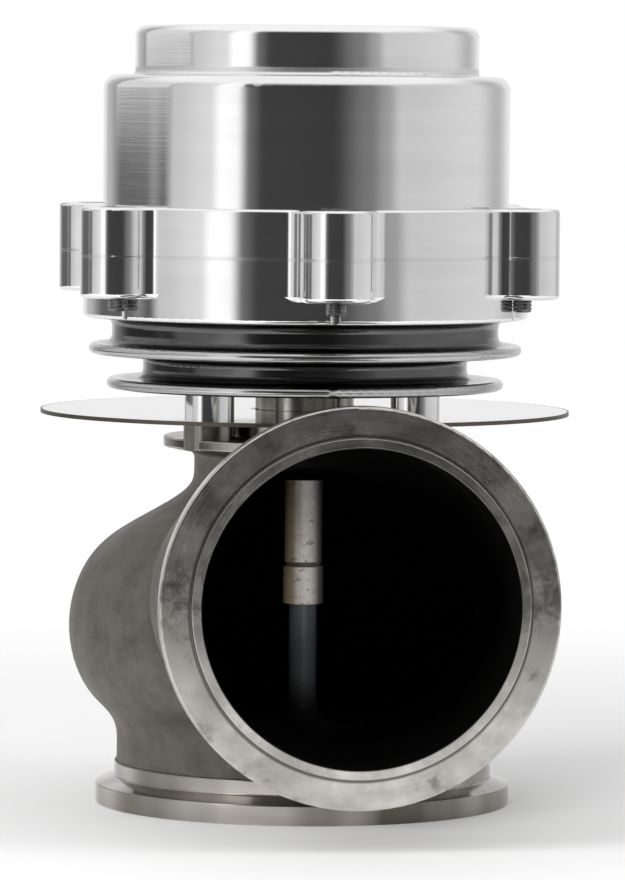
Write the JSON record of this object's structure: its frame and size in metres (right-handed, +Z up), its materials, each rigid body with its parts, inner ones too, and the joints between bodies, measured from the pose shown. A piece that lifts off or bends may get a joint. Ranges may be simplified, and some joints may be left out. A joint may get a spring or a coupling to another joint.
{
  "type": "turbo wastegate",
  "caption": "External V-band turbo wastegate: poppet valve lifted against nested springs by a diaphragm actuator on a cast body.",
  "frame": {"origin": "centre of the inlet flange's face, on the valve's axis", "axes": "+Z up the valve's axis from inlet to actuator, -Y out of the outlet"},
  "size_m": [0.107, 0.14, 0.1571],
  "materials": {
    "cast_stainless": "matte cast skin, flanges machined",
    "machined_stainless": "turned",
    "guide_bronze": "turned",
    "gasket_fibre": "pressed fibre",
    "polished_stainless": "mirror polished",
    "polished_aluminium": "polished",
    "black_steel": "black oxide",
    "plated_steel": "zinc plated",
    "turned_aluminium": "fine turned and polished",
    "bearing_bronze": "sintered",
    "seal_rubber": "moulded",
    "plug_steel": "plated",
    "diaphragm_rubber": "moulded on fabric",
    "spring_steel": "shot peened",
    "valve_steel": "heat darkened",
    "plate_aluminium": "turned"
  },
  "bodies": {
    "housing": {"valve_housing": "cast_stainless", "valve_seat": "machined_stainless", "valve_guide": "guide_bronze", "guide_gasket": "gasket_fibre", "heat_shield": "polished_stainless", "standoff_posts": "polished_aluminium", "mounting_screws": "black_steel", "mounting_washers": "plated_steel", "actuator_base": "turned_aluminium", "stem_bushing": "bearing_bronze", "stem_seal": "seal_rubber", "port_plug": "plug_steel", "diaphragm": "diaphragm_rubber", "actuator_cap": "turned_aluminium", "cap_screws": "plated_steel", "spring_outer": "spring_steel", "spring_middle": "spring_steel", "spring_inner": "spring_steel"},
    "valve_train": {"valve": "valve_steel", "diaphragm_plate": "plate_aluminium", "piston": "plate_aluminium", "stem_washer": "plated_steel", "stem_nut": "plated_steel"}
  },
  "joints": [
    {"name": "valve_lift", "type": "slide", "parent": "housing", "child": "valve_train", "axis": [0, 0, 1], "range_m": [0, 0.014], "stiffness_N_per_m": 12000, "springref_m": -0.02, "deforming": ["spring_outer", "spring_middle", "spring_inner", "diaphragm"]}
  ]
}
